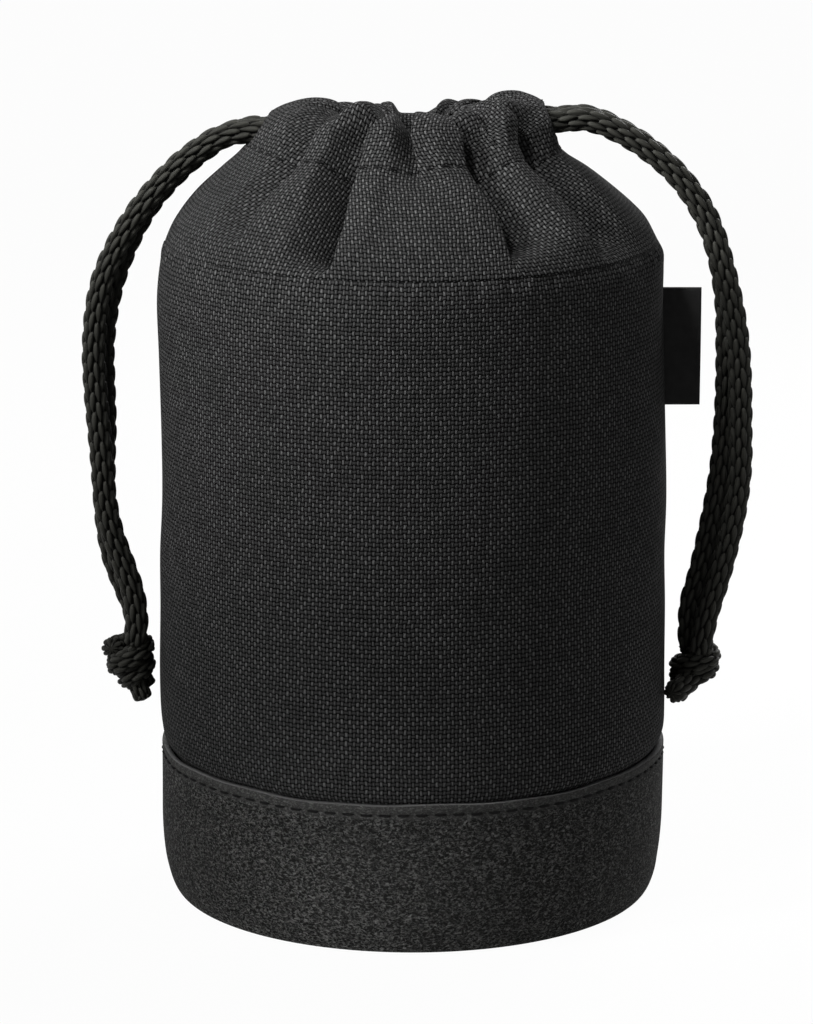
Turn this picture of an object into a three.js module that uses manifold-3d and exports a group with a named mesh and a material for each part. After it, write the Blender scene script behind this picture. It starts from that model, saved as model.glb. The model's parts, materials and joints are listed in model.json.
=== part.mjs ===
// A padded drawstring lens pouch: a woven tube on a moulded base cup, gathered shut at the
// top by two braided drawcords that run through a sewn channel in opposite directions.
// Millimetres, +Z up. The origin is the centre of the flat bottom, the front is -Y,
// and the sewn-in side tab points along +X.

import * as THREE from 'three';
import { mergeVertices } from 'three/addons/utils/BufferGeometryUtils.js';
import Module from 'manifold-3d';

const wasm = await Module();
wasm.setup();

// Fits
const clearance = 0.3;
const liftGap = 0.3;

// Base cup
const baseProud = 0.5;
const baseHeight = 27.2;
const baseWall = 1.6;
const baseFloor = 1.4;
const baseCornerWidth = 4;
const baseCornerHeight = 16;
const baseStitchDrop = 1.8;

// Inside the bottom
const stiffenerThickness = 1.2;
const floorFoamThickness = 3;

// Padded tube
const bodyRadius = 45;
const clothThickness = 0.9;
const foamThickness = 3;
const liningThickness = 0.8;
const lapDepth = 14;
const lapRise = 4.3;
const seamHeight = 118.4;
const seamTuck = 1.1;
const seamTuckHeight = 2;

// Gathered collar: rises are from the seam, drops from the crown
const shoulderInset = 3.8;
const shoulderRise = 4.4;
const neckRadius = 28.4;
const neckDrop = 9.6;
const cheekSpread = 6.8;
const cheekDrop = 3;
const crownRadius = 17;
const crownRise = 25.8;
const crownDip = 3;
const crownDipFrom = 0.35;
const lipInset = 5.1;
const lipDrop = 2.3;
const collarWall = 1;
const neckSqueeze = 0.07;
const foldDepth = 3;
const foldWidth = 8;
const foldEase = 0.3;

// Each fold: its angle from the front towards +X, its share of the fold depth, and how far
// it runs down the slope from the mouth, as a share of the slope
const folds = [
  { angle: -42, depth: 0.7, run: 0.65 },
  { angle: -20, depth: 1, run: 1 },
  { angle: 4, depth: 0.6, run: 0.55 },
  { angle: 18, depth: 1, run: 0.9 },
  { angle: 39, depth: 0.95, run: 1 },
  { angle: 64, depth: 0.5, run: 0.45 },
  { angle: 118, depth: 0.9, run: 0.95 },
  { angle: 143, depth: 0.75, run: 0.7 },
  { angle: 168, depth: 1, run: 1 },
  { angle: 194, depth: 0.7, run: 0.6 },
  { angle: 219, depth: 0.95, run: 0.95 },
  { angle: 243, depth: 0.75, run: 0.75 },
];

// Drawcords and channel
const cordDiameter = 4;
const packedDiameter = 3;
const channelStitchShare = 0.46;
const facingWall = 1;
const troughSpread = 1.6;
const troughDrop = 11.9;
const leftLoopRadius = 18.2;
const leftLoopDrop = 6.4;
const leftLoopDip = 2;
const leftExit = 28.3;
const rightLoopRadius = 15.2;
const rightLoopDrop = 4.6;
const rightLoopDip = 0;
const rightExit = 26.4;
const leadLength = 3.1;
const leadStraight = 0.7;
const loopTurnIn = 22;

const crownHeight = seamHeight + crownRise;
const leftLoopHeight = crownHeight - leftLoopDrop;
const rightLoopHeight = crownHeight - rightLoopDrop;

// Free stretch of each pair of strands, from the channel's mouth to the knot: x and z of
// the pair's middle, and the turn of the pair about its own line, in degrees. At 90 one
// strand lies straight in front of the other, at 0 they lie side by side.
const leftRoute = [
  [-leftExit, leftLoopHeight, 90],
  [-31.6, 137.2, 86],
  [-34.4, 136.1, 82],
  [-37.2, 134.3, 80],
  [-40.3, 131.9, 79],
  [-43.6, 128.7, 79],
  [-46.6, 125.2, 78],
  [-49.1, 121.6, 75],
  [-51.6, 117, 70],
  [-53.9, 111.4, 66],
  [-55.3, 105.5, 68],
  [-56, 98.5, 72],
  [-55.9, 91.5, 74],
  [-55.6, 84.5, 80],
  [-55.5, 78, 90],
  [-55.3, 71.5, 96],
  [-54.4, 65, 106],
  [-53, 59.7, 116],
  [-51.4, 54.4, 112],
  [-50.5, 50.4, 100],
  [-50.5, 47.1, 94],
];
const rightRoute = [
  [rightExit, rightLoopHeight, 90],
  [29.8, 139.9, 90],
  [33.2, 139.1, 89],
  [36.4, 137.6, 88],
  [39.4, 135.9, 88],
  [42.6, 133.6, 88],
  [45.8, 130.8, 87],
  [48.6, 127.6, 87],
  [51.1, 123.9, 86],
  [53.2, 119.4, 88],
  [55, 113.4, 88],
  [56.4, 106.4, 80],
  [57.1, 99.4, 68],
  [57.4, 92, 61],
  [57.4, 84.8, 55],
  [57.2, 77.6, 44],
  [56.4, 70.6, 37],
  [55.1, 63.6, 37],
  [53.6, 57, 42],
  [52.2, 51.2, 56],
  [51.4, 45.4, 72],
];

// Knots
const leftKnot = { x: -50.8, z: 41.5, width: 8.6, height: 10.2 };
const rightKnot = { x: 51.1, z: 40.2, width: 8.8, height: 9.4 };
const wrapDiameter = 3.4;
const wrapRoll = 26;
const wrapPitch = 14;
const wrapSpread = 0.16;
const tailDiameter = 3;

// Side tab
const tabReach = 6.6;
const tabThickness = 0.9;
const tabDrop = 8.7;
const tabHeight = 21.3;

// Threads
const threadDiameter = 0.6;

// Fineness of the facets
const turnSteps = 40;
const gatherSteps = 80;
const slopeSteps = 10;
const facingSteps = 5;
const cordSides = 8;
const holeSides = 12;
const threadSides = 6;
const cordSteps = 16;
const bendSteps = 24;
const loopSteps = 32;

const pouch = new THREE.Group();

// Shared shapes

function finish(color, roughness) {
  return new THREE.MeshStandardMaterial({ color, roughness, metalness: 0 });
}

function add(name, geometry, material, parent = pouch) {
  const mesh = new THREE.Mesh(geometry, material);
  mesh.name = name;
  parent.add(mesh);
  return mesh;
}

// A ring or disc from a closed outline of [radius, height] points, up the outside first.
function revolve(outline) {
  const points = outline.map(([radius, height]) => new THREE.Vector2(radius, height));
  points.push(points[0].clone());
  return new THREE.LatheGeometry(points, turnSteps).rotateX(Math.PI / 2);
}

function disc(radius, bottom, thickness) {
  return revolve([[0, bottom], [radius, bottom], [radius, bottom + thickness], [0, bottom + thickness]]);
}

// A quarter of an ellipse from straight below its centre to straight out from it.
function corner(radius, height, width, drop, steps = 6) {
  return Array.from({ length: steps + 1 }, (_, i) => {
    const turn = (i / steps) * Math.PI / 2;
    return [radius + width * Math.sin(turn), height - drop * Math.cos(turn)];
  });
}

// The place at a radius and height, at an angle in degrees from the front towards +X.
function around(angle, radius, height) {
  const turn = THREE.MathUtils.degToRad(angle);
  return new THREE.Vector3(radius * Math.sin(turn), -radius * Math.cos(turn), height);
}

// A closed ring whose cross-section changes round the axis: sectionAt(angle) gives the
// closed outline there as [radius, height] points, up the outside first.
function ring(sectionAt) {
  const positions = [];
  const indices = [];
  let count = 0;
  for (let i = 0; i < gatherSteps; i++) {
    const angle = (i / gatherSteps) * 360;
    const section = sectionAt(angle);
    count = section.length;
    for (const [radius, height] of section) positions.push(...around(angle, radius, height).toArray());
  }
  for (let i = 0; i < gatherSteps; i++) {
    const next = (i + 1) % gatherSteps;
    for (let j = 0; j < count; j++) {
      const up = (j + 1) % count;
      const [a, b] = [i * count + j, next * count + j];
      const [c, d] = [next * count + up, i * count + up];
      indices.push(a, b, c, a, c, d);
    }
  }
  const geometry = new THREE.BufferGeometry();
  geometry.setAttribute('position', new THREE.Float32BufferAttribute(positions, 3));
  geometry.setIndex(indices);
  return geometry;
}

// A round tube along a curve.
function tube(curve, diameter, steps, sides = cordSides) {
  const section = new THREE.Shape(
    Array.from({ length: sides }, (_, i) => {
      const turn = (i / sides) * 2 * Math.PI;
      return new THREE.Vector2(Math.cos(turn), Math.sin(turn)).multiplyScalar(diameter / 2);
    }),
  );
  return new THREE.ExtrudeGeometry(section, { steps, extrudePath: curve, bevelEnabled: false });
}

function rod(from, to, diameter, sides = cordSides) {
  return tube(new THREE.LineCurve3(from, to), diameter, 1, sides);
}

// Joins and cuts

function toSolid(geometry) {
  const bare = new THREE.BufferGeometry();
  bare.setAttribute('position', geometry.getAttribute('position'));
  if (geometry.index) bare.setIndex(geometry.index);
  const merged = mergeVertices(bare, 1e-3);
  return new wasm.Manifold(new wasm.Mesh({
    numProp: 3,
    vertProperties: merged.getAttribute('position').array,
    triVerts: new Uint32Array(merged.index.array),
  }));
}

function toGeometry(solid) {
  const mesh = solid.getMesh();
  const geometry = new THREE.BufferGeometry();
  geometry.setAttribute('position', new THREE.Float32BufferAttribute(mesh.vertProperties, 3));
  geometry.setIndex(Array.from(mesh.triVerts));
  return geometry;
}

function join(geometries) {
  return toGeometry(geometries.map(toSolid).reduce((whole, next) => whole.add(next)));
}

function cut(geometry, cutters) {
  return toGeometry(cutters.map(toSolid).reduce((whole, next) => whole.subtract(next), toSolid(geometry)));
}

// Base cup: a moulded leathercloth bowl with a flat bottom, a rounded corner and a groove
// for its row of top stitching

const threadRadius = threadDiameter / 2;
const grooveDepth = threadDiameter + clearance;
const grooveHalf = threadRadius + clearance;
const baseStitchHeight = baseHeight - baseStitchDrop;
const baseRadius = bodyRadius + baseProud;
const baseFlat = baseRadius - baseCornerWidth;
const baseInner = baseRadius - baseWall;

add('base_cup', revolve([
  [0, 0],
  ...corner(baseFlat, baseCornerHeight, baseCornerWidth, baseCornerHeight),
  [baseRadius, baseStitchHeight - grooveHalf],
  [baseRadius - grooveDepth, baseStitchHeight - grooveHalf],
  [baseRadius - grooveDepth, baseStitchHeight + grooveHalf],
  [baseRadius, baseStitchHeight + grooveHalf],
  [baseRadius, baseHeight],
  [baseInner, baseHeight],
  ...corner(baseFlat, baseCornerHeight, baseCornerWidth - baseWall, baseCornerHeight - baseFloor).reverse(),
  [0, baseFloor],
]), finish(0x2b2a2b, 0.6));

// A thread lying round the axis, as a ring with a faceted section.
function threadRing(radius, height) {
  return revolve(Array.from({ length: threadSides }, (_, i) => {
    const turn = (i / threadSides - 0.25) * 2 * Math.PI;
    return [radius + threadRadius * Math.cos(turn), height + threadRadius * Math.sin(turn)];
  }));
}

const baseThread = threadRing(baseRadius - grooveDepth + grooveHalf, baseStitchHeight);
add('base_stitch', baseThread, finish(0x161517, 0.7));

// Bottom stack: a stiff disc, a foam disc and the lining's floor

const stiffenerBottom = baseFloor + clearance;
const floorFoamBottom = stiffenerBottom + stiffenerThickness + clearance;
const liningBottom = floorFoamBottom + floorFoamThickness + clearance;

add('base_stiffener', disc(baseFlat, stiffenerBottom, stiffenerThickness), finish(0x202022, 0.55));
add('floor_foam', disc(baseFlat, floorFoamBottom, floorFoamThickness), finish(0x3a3a3d, 0.95));

// Padded tube: woven outside, foam sleeve, lining. Below the rim it laps inside the cup,
// and at the top it tucks in to the seam.

const lapOuter = baseInner - clearance;
const lapBottom = baseHeight - lapDepth;
const lapTop = baseHeight + clearance;
const tuckBottom = seamHeight - seamTuckHeight;
const bodyTop = seamHeight - clearance;
const seamRadius = bodyRadius - seamTuck;
const tubeOutside = [
  [lapOuter, lapTop],
  [bodyRadius, lapTop + lapRise],
  [bodyRadius, tuckBottom],
  [seamRadius, bodyTop],
];

// The tube's outside line moved inwards by a distance.
function inside(distance) {
  return tubeOutside.map(([radius, height]) => [radius - distance, height]);
}

add('body_panel', revolve([
  [lapOuter, lapBottom],
  ...tubeOutside,
  ...inside(clothThickness).reverse(),
  [lapOuter - clothThickness, lapBottom],
]), finish(0x29292b, 0.9));

const foamGap = clothThickness + clearance;
const foamInner = lapOuter - foamGap - foamThickness;

add('foam_sleeve', revolve([
  [foamInner, liningBottom],
  [lapOuter - foamGap, liningBottom],
  ...inside(foamGap),
  [foamInner, bodyTop],
]), finish(0x3a3a3d, 0.95));

const liningOuter = foamInner - clearance;
const liningTubeBottom = liningBottom + liningThickness + clearance;

add('lining_floor', disc(liningOuter, liningBottom, liningThickness), finish(0x1f1f21, 0.95));
add('lining_tube', revolve([
  [liningOuter, liningTubeBottom],
  [liningOuter, bodyTop],
  [liningOuter - liningThickness, bodyTop],
  [liningOuter - liningThickness, liningTubeBottom],
]), finish(0x1f1f21, 0.95));

// Thread in the crease of the seam, half sunk between the tube and the collar.
add('seam_stitch', threadRing(seamRadius + clearance + threadRadius, seamHeight), finish(0x161517, 0.7));

// Gathered collar

const collarBottom = seamHeight + clearance;
const slope = new THREE.SplineCurve([
  new THREE.Vector2(seamRadius, collarBottom),
  new THREE.Vector2(bodyRadius - shoulderInset, seamHeight + shoulderRise),
  new THREE.Vector2(neckRadius, crownHeight - neckDrop),
  new THREE.Vector2(crownRadius + cheekSpread, crownHeight - cheekDrop),
  new THREE.Vector2(crownRadius, crownHeight),
  new THREE.Vector2(crownRadius - lipInset, crownHeight - lipDrop),
]);

// How far the folds pull the cloth in at an angle and a share of the slope.
function gather(angle, share) {
  const rise = Math.sin(Math.PI * share) * foldDepth;
  return folds.reduce((sum, fold) => {
    const away = THREE.MathUtils.euclideanModulo(angle - fold.angle + 180, 360) - 180;
    const reach = THREE.MathUtils.smoothstep(share, 1 - fold.run, 1 - fold.run + foldEase);
    return sum + rise * fold.depth * reach * Math.exp(-((away / foldWidth) ** 2));
  }, 0);
}

// How far the mouth dips between the two cord exits: most at the front and back, 0 at the sides.
function mouthDip(angle) {
  return crownDip * Math.cos(THREE.MathUtils.degToRad(angle)) ** 2;
}

// A point of the collar, a depth below its outer face, at an angle and a share of the slope.
function collarPoint(angle, share, depth) {
  const place = slope.getPointAt(share);
  const along = slope.getTangentAt(share);
  const inward = depth + gather(angle, share);
  const squeeze = 1 - neckSqueeze * share * Math.cos(THREE.MathUtils.degToRad(angle)) ** 2;
  const dip = mouthDip(angle) * THREE.MathUtils.smoothstep(share, crownDipFrom, 1);
  const height = Math.max(place.y + along.x * inward - dip, collarBottom);
  return [(place.x - along.y * inward) * squeeze, height];
}

const slopeShares = Array.from({ length: slopeSteps + 1 }, (_, i) => i / slopeSteps);

function collarSection(angle) {
  const outer = slopeShares.map((share) => collarPoint(angle, share, 0));
  const inner = slopeShares.map((share) => collarPoint(angle, share, collarWall));
  return [...outer, ...inner.reverse()];
}

// Holes in the collar where a pair of strands leaves the channel, one strand in front of
// the other.
const cordRadius = cordDiameter / 2;
const strandOffset = cordRadius + clearance / 2;
const holeDiameter = cordDiameter + 2 * clearance;

function exitHoles(side, loopRadius, exit, height) {
  return [-strandOffset, strandOffset].map((y) => rod(
    new THREE.Vector3(side * loopRadius, y, height),
    new THREE.Vector3(side * (exit + cordDiameter), y, height),
    holeDiameter,
    holeSides,
  ));
}

add('collar', cut(ring(collarSection), [
  ...exitHoles(-1, leftLoopRadius, leftExit, leftLoopHeight),
  ...exitHoles(1, rightLoopRadius, rightExit, rightLoopHeight),
]), finish(0x29292b, 0.9));

// Channel facing: the inner ply of the drawcord channel, from the lip down round the loops
// and out to the stitch line

const troughRadius = leftLoopRadius + troughSpread;
const troughHeight = crownHeight - troughDrop;

function facingSection(angle) {
  const troughTop = troughHeight - mouthDip(angle);
  const [lipAt, lipTop] = collarPoint(angle, 1, collarWall);
  const [stitchAt, stitchTop] = collarPoint(angle, channelStitchShare, collarWall + clearance);
  const line = new THREE.SplineCurve([
    new THREE.Vector2(lipAt, lipTop - clearance),
    new THREE.Vector2(lipAt + facingWall / 2, (lipTop + troughTop) / 2 + facingWall),
    new THREE.Vector2(troughRadius, troughTop),
    new THREE.Vector2(stitchAt, stitchTop),
  ]);
  const channelSide = line.getPoints(facingSteps);
  const mouthSide = channelSide.map((place, i) => {
    const along = line.getTangent(i / facingSteps);
    return [place.x + along.y * facingWall, place.y - along.x * facingWall];
  });
  return [...channelSide.map((place) => [place.x, place.y]).reverse(), ...mouthSide];
}

add('channel_facing', ring(facingSection), finish(0x242426, 0.9));

// Row of stitching that closes the channel, lying on the collar's outer face.
add('channel_stitch', ring((angle) => {
  const [radius, height] = collarPoint(angle, channelStitchShare, -clearance - threadRadius);
  return [[0, -1], [1, 0], [0, 1], [-1, 0]].map(([out, up]) => [
    radius + out * threadRadius,
    height + up * threadRadius,
  ]);
}), finish(0x161517, 0.7));

// Drawcords: a loop packed in the channel, which dips on its far side to pass below the other
// cord, a straight root of two strands through the hole, two free strands and their knot

function drawcord(name, side, loopRadius, height, dip, exit, route, knot) {
  const cloth = () => finish(0x23231f, 0.8);
  const cord = new THREE.Group();
  pouch.add(cord);

  const leadEnd = loopRadius + leadLength;
  const bend = Array.from({ length: bendSteps + 1 }, (_, i) => {
    const turn = loopTurnIn + (i / bendSteps) * (360 - 2 * loopTurnIn);
    const angle = side * 90 + turn;
    const sunk = dip * (1 - Math.cos(THREE.MathUtils.degToRad(turn))) / 2 + mouthDip(angle);
    return around(angle, loopRadius, height - sunk);
  });
  const lead = (y, share) => new THREE.Vector3(side * (loopRadius + share * leadLength), y, height);
  const loop = new THREE.CatmullRomCurve3([
    lead(side * strandOffset, 1),
    lead(side * strandOffset, leadStraight),
    ...bend,
    lead(-side * strandOffset, leadStraight),
    lead(-side * strandOffset, 1),
  ]);
  add(`${name}_drawcord_loop`, tube(loop, packedDiameter, loopSteps), cloth(), cord);

  for (const [place, ahead] of [['front', -1], ['back', 1]]) {
    const y = ahead * strandOffset;
    const rootStart = new THREE.Vector3(side * (leadEnd + clearance), y, height);
    const rootEnd = new THREE.Vector3(side * (exit - cordRadius - liftGap), y, height);
    add(`${name}_root_${place}`, rod(rootStart, rootEnd, cordDiameter), cloth(), cord);

    const strand = new THREE.CatmullRomCurve3(route.map(([x, z, turn], i) => {
      const before = route[Math.max(i - 1, 0)];
      const after = route[Math.min(i + 1, route.length - 1)];
      const along = new THREE.Vector2(after[0] - before[0], after[1] - before[1]).normalize();
      const twist = THREE.MathUtils.degToRad(turn);
      const sideways = -ahead * side * strandOffset * Math.cos(twist);
      return new THREE.Vector3(x - along.y * sideways, y * Math.sin(twist), z + along.x * sideways);
    }));
    add(`${name}_cord_${place}`, tube(strand, cordDiameter, cordSteps), cloth(), cord);
  }

  const lump = new THREE.SphereGeometry(0.5, 12, 8);
  lump.rotateX(Math.PI / 2).scale(knot.width - clearance, knot.width - clearance, knot.height);
  lump.translate(knot.x, 0, knot.z);
  const wraps = [-1, 1].map((tilt) => {
    const wrap = new THREE.TorusGeometry((knot.width - wrapDiameter) / 2, wrapDiameter / 2, 6, 14);
    wrap.rotateY(THREE.MathUtils.degToRad(tilt * wrapRoll));
    wrap.rotateX(THREE.MathUtils.degToRad(tilt * wrapPitch));
    return wrap.translate(knot.x, 0, knot.z + tilt * knot.height * wrapSpread);
  });
  const tails = knotTails[name].map(([x, y, z]) => rod(
    new THREE.Vector3(knot.x, 0, knot.z - knot.height / 4),
    new THREE.Vector3(x, y, z),
    tailDiameter,
  ));
  add(`${name}_knot`, join([lump, ...wraps, ...tails]), cloth(), cord);
}

// The cut ends below each knot.
const knotTails = {
  left: [[-48.2, -1.6, 33.8], [-48.8, 1.8, 34.6]],
  right: [[46.6, -6.2, 35], [48, -4.2, 34.4]],
};

drawcord('left', -1, leftLoopRadius, leftLoopHeight, leftLoopDip, leftExit, leftRoute, leftKnot);
drawcord('right', 1, rightLoopRadius, rightLoopHeight, rightLoopDip, rightExit, rightRoute, rightKnot);

// Side tab: a folded satin ribbon, rounded where it leaves the tube so that it can swing

const tabHalf = tabThickness / 2;
const tabOutline = new THREE.Shape();
tabOutline.absarc(0, 0, tabHalf, Math.PI / 2, Math.PI * 1.5);
tabOutline.lineTo(tabReach - clearance - tabHalf, -tabHalf);
tabOutline.lineTo(tabReach - clearance - tabHalf, tabHalf);

const tab = add('label_tab', new THREE.ExtrudeGeometry(tabOutline, {
  depth: tabHeight,
  curveSegments: 6,
  bevelEnabled: false,
}), finish(0x131315, 0.5));
tab.position.set(bodyRadius + clearance + tabHalf, 0, seamHeight - tabDrop - tabHeight);

export default pouch;
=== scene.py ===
# %% [markdown]
# # A drawstring lens pouch
# The pouch is a padded tube of black woven cloth that stands in a moulded leathercloth cup.
# A cloth collar is sewn to the top of the tube and gathered shut by two braided drawcords.
# The construction model holds every piece at its real size and place. This lesson gives each
# piece the surface that the eye expects: weave, grain, braid, stitches and folds.

# %% Load the construction model
import json
import math

import bpy
import bmesh
import numpy as np
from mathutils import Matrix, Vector


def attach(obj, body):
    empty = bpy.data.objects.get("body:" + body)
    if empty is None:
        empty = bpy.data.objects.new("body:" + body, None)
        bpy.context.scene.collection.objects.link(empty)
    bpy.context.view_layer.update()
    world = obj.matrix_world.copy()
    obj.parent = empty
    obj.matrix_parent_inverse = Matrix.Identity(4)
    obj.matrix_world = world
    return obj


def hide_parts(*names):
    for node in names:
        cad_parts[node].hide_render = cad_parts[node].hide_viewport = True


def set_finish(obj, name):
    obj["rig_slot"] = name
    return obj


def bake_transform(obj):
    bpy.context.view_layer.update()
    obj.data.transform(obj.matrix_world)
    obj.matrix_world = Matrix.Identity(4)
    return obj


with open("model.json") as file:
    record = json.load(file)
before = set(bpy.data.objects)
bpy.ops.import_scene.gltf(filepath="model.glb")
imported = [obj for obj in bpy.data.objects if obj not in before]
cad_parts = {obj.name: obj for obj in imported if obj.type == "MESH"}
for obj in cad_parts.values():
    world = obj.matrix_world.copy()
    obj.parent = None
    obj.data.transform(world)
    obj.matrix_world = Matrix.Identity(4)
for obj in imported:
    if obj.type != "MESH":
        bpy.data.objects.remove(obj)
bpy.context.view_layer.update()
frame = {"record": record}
MM = 0.001

# %% [markdown]
# ## Camera
# The photograph was taken with a long lens from a little above the pouch, which shows the
# base as a shallow curve. A camera can be turned towards a target with a constraint, but one
# tilt angle and a place worked out from the base's two curves keep the frame exact.

# %% Place the camera
camera_tilt = 12.65
camera_place = (-0.00105, -0.700, 0.22582)
camera_data = bpy.data.cameras.new("camera")
camera_data.lens = 140.13
camera_data.sensor_width = 36
camera = bpy.data.objects.new("camera", camera_data)
camera.location = camera_place
camera.rotation_euler = (math.radians(90 - camera_tilt), 0, 0)
bpy.context.scene.collection.objects.link(camera)
bpy.context.scene.camera = camera
print("camera looks down by", camera_tilt, "degrees")

# %% [markdown]
# ## Shapes from arrays
# Every piece below is a grid of points: a formula of two parameters, or a profile carried
# along a path. Modelling by hand would also work, but a formula keeps the sizes in sight.
# These helpers ease between values, run smooth curves through a few points and turn a grid
# into a mesh. All sizes are in millimetres until the mesh is made.

# %% Curves and places
def ease(low, high, value):
    """0 below low, 1 above high, and 3t^2 - 2t^3 between them, with t the share of the way."""
    t = np.clip((value - low) / (high - low), 0, 1)
    return t * t * (3 - 2 * t)


def unit(vectors):
    """The vectors divided by their own lengths."""
    return vectors / np.linalg.norm(vectors, axis=-1, keepdims=True)


def place(angle, radius, height):
    """The point at an angle in degrees from the front towards +X: x = r sin, y = -r cos."""
    turn = np.radians(angle)
    x, y, z = np.broadcast_arrays(radius * np.sin(turn), -radius * np.cos(turn), height)
    return np.stack([x, y, z], axis=-1)


def distances(points):
    """The length walked along a line of points up to each of them, from 0 at the first."""
    return np.concatenate([[0], np.cumsum(np.linalg.norm(np.diff(points, axis=0), axis=1))])


def read_between(marks, values, at):
    """Rows of values that belong to rising marks, read at other marks by straight lines."""
    return np.stack([np.interp(at, marks, column) for column in values.T], axis=-1)


def evenly(points, count):
    """A line of points walked again in equal steps of its length."""
    lengths = distances(points)
    return read_between(lengths, points, np.linspace(0, lengths[-1], count))


def evenly_spread(values, count):
    """Rows of values stretched to count rows, by straight lines between them."""
    return read_between(np.arange(len(values)), values, np.linspace(0, len(values) - 1, count))


def through(controls, count, fine=40):
    """A Catmull-Rom curve through the controls, walked in equal steps. Between two controls
    it is the cubic whose slope at each one is half the step between that one's neighbours."""
    controls = np.asarray(controls, float)
    padded = np.concatenate([controls[:1], controls, controls[-1:]])
    t = np.linspace(0, len(controls) - 1, fine * (len(controls) - 1) + 1)
    i = np.minimum(t.astype(int), len(controls) - 2)
    f = (t - i)[:, None]
    a, b, c, d = (padded[i + k] for k in range(4))
    cubic = b + (c - a) * f / 2 + (a - 2.5 * b + 2 * c - d / 2) * f**2
    return evenly(cubic + (1.5 * (b - c) + (d - a) / 2) * f**3, count)


def line_length(points):
    """The length of a line of points."""
    return float(np.linalg.norm(np.diff(points, axis=0), axis=1).sum())


print("curve helpers ready")

# %% Faces and pattern of a grid
def grid_faces(rows, columns, close_rows=False):
    """The four corners of every face of a grid that closes round its columns. Its last row
    may close on its first one too."""
    j = np.arange(rows if close_rows else rows - 1)[:, None]
    i = np.arange(columns)[None, :]
    up, on = (j + 1) % rows, (i + 1) % columns
    corners = [j * columns + i, j * columns + on, up * columns + on, up * columns + i]
    return np.stack(np.broadcast_arrays(*corners), axis=-1).reshape(-1, 4)


def laid_out(across, up):
    """Pattern coordinates on a grid, from the counts across it and the counts up it."""
    return np.stack(np.broadcast_arrays(across, up), axis=-1)


def corner_places(left, right=None):
    """Pattern coordinates for each face's corners. left holds one place per grid point, with
    the closing row and column added, and right replaces the far column where cloth is cut."""
    right = left[:, 1:] if right is None else right
    left = left[:, :-1]
    return np.stack([left[:-1], right[:-1], right[1:], left[1:]], axis=2).reshape(-1, 4, 2)


print("grid helpers ready")

# %% Grids into meshes
def make_mesh(name, points, faces, places=None):
    """A closed mesh object from points in millimetres, four-cornered faces and the pattern
    coordinates of their corners. Faces are turned outwards if the volume comes out negative,
    and points that fall together, as at a pole, are merged."""
    corner = points[faces]
    volume = np.einsum("ij,ij->i", corner[:, 0], np.cross(corner[:, 1], corner[:, 2])).sum()
    volume += np.einsum("ij,ij->i", corner[:, 0], np.cross(corner[:, 2], corner[:, 3])).sum()
    if volume < 0:
        faces = faces[:, ::-1]
        places = None if places is None else places[:, ::-1]
    mesh = bpy.data.meshes.new(name)
    mesh.vertices.add(len(points))
    mesh.vertices.foreach_set("co", (points * MM).ravel())
    mesh.loops.add(faces.size)
    mesh.loops.foreach_set("vertex_index", np.ascontiguousarray(faces).ravel())
    mesh.polygons.add(len(faces))
    mesh.polygons.foreach_set("loop_start", np.arange(len(faces)) * 4)
    mesh.update(calc_edges=True)
    if places is not None:
        layer = mesh.uv_layers.new(name="pattern")
        layer.data.foreach_set("uv", np.ascontiguousarray(places).ravel())
    shape = bmesh.new()
    shape.from_mesh(mesh)
    bmesh.ops.remove_doubles(shape, verts=shape.verts, dist=1e-7)
    shape.to_mesh(mesh)
    shape.free()
    mesh.shade_smooth()
    piece = bpy.data.objects.new(name, mesh)
    bpy.context.scene.collection.objects.link(piece)
    print(name, len(mesh.polygons), "faces")
    return piece


def grid_mesh(name, grid, pattern, close_rows=False, right=None):
    """One mesh from a grid and its pattern coordinates."""
    faces = grid_faces(*grid.shape[:2], close_rows)
    return make_mesh(name, grid.reshape(-1, 3), faces, corner_places(pattern, right))


def join_grids(name, grids):
    """One mesh from several grids of (points, pattern coordinates)."""
    points, faces, places, start = [], [], [], 0
    for grid, pattern in grids:
        rows, columns = grid.shape[:2]
        faces.append(grid_faces(rows, columns) + start)
        points.append(grid.reshape(-1, 3))
        places.append(corner_places(pattern))
        start += rows * columns
    return make_mesh(name, np.concatenate(points), np.concatenate(faces), np.concatenate(places))


def settle(piece, slot, *nodes, body="pouch"):
    """Gives a piece its finish slot, hides the nodes that it stands for and hangs it on the body
    that carries it, when one is given.
    """
    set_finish(piece, slot)
    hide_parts(*nodes)
    if body:
        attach(piece, body)
    return piece


print("mesh helpers ready")

# %% [markdown]
# ## Braided drawcords
# Each drawcord is a loop of round cord that lies in the collar's channel and comes out of one
# side as two strands, tied in a knot. The skin of such a cord is ten columns of leaf-shaped
# stitches, each column half a stitch behind its neighbour. A bump map would look flat against
# the white ground, so the stitches are in the mesh: the tube's radius follows a height formula.

# %% The braid's skin
braid_crest = 4.3
braid_columns = 10
stitch_pitch = 3.6
stitch_lean = 0.5
groove_depth = 0.7


def braid_height(around, along):
    """Height of the braid from 0 in a groove to 1 on a stitch. A stitch is a leaf whose half
    width follows sin(pi t^0.75)^0.7 along the cord, with a half ellipse across it. Every other
    column is half a pitch behind and leans the other way, as in a chevron."""
    turn = around * braid_columns
    odd = np.mod(np.floor(turn), 2)
    step = along / stitch_pitch + 0.5 * odd
    share = step - np.floor(step)
    across = 2 * (turn - np.floor(turn)) - 1 + stitch_lean * (1 - 2 * odd) * (share - 0.5)
    half = 0.15 + 0.95 * np.sin(np.pi * share**0.75) ** 0.7
    return np.sqrt(np.clip(1 - (across / half) ** 2, 0, 1)) * half**0.5


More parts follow.
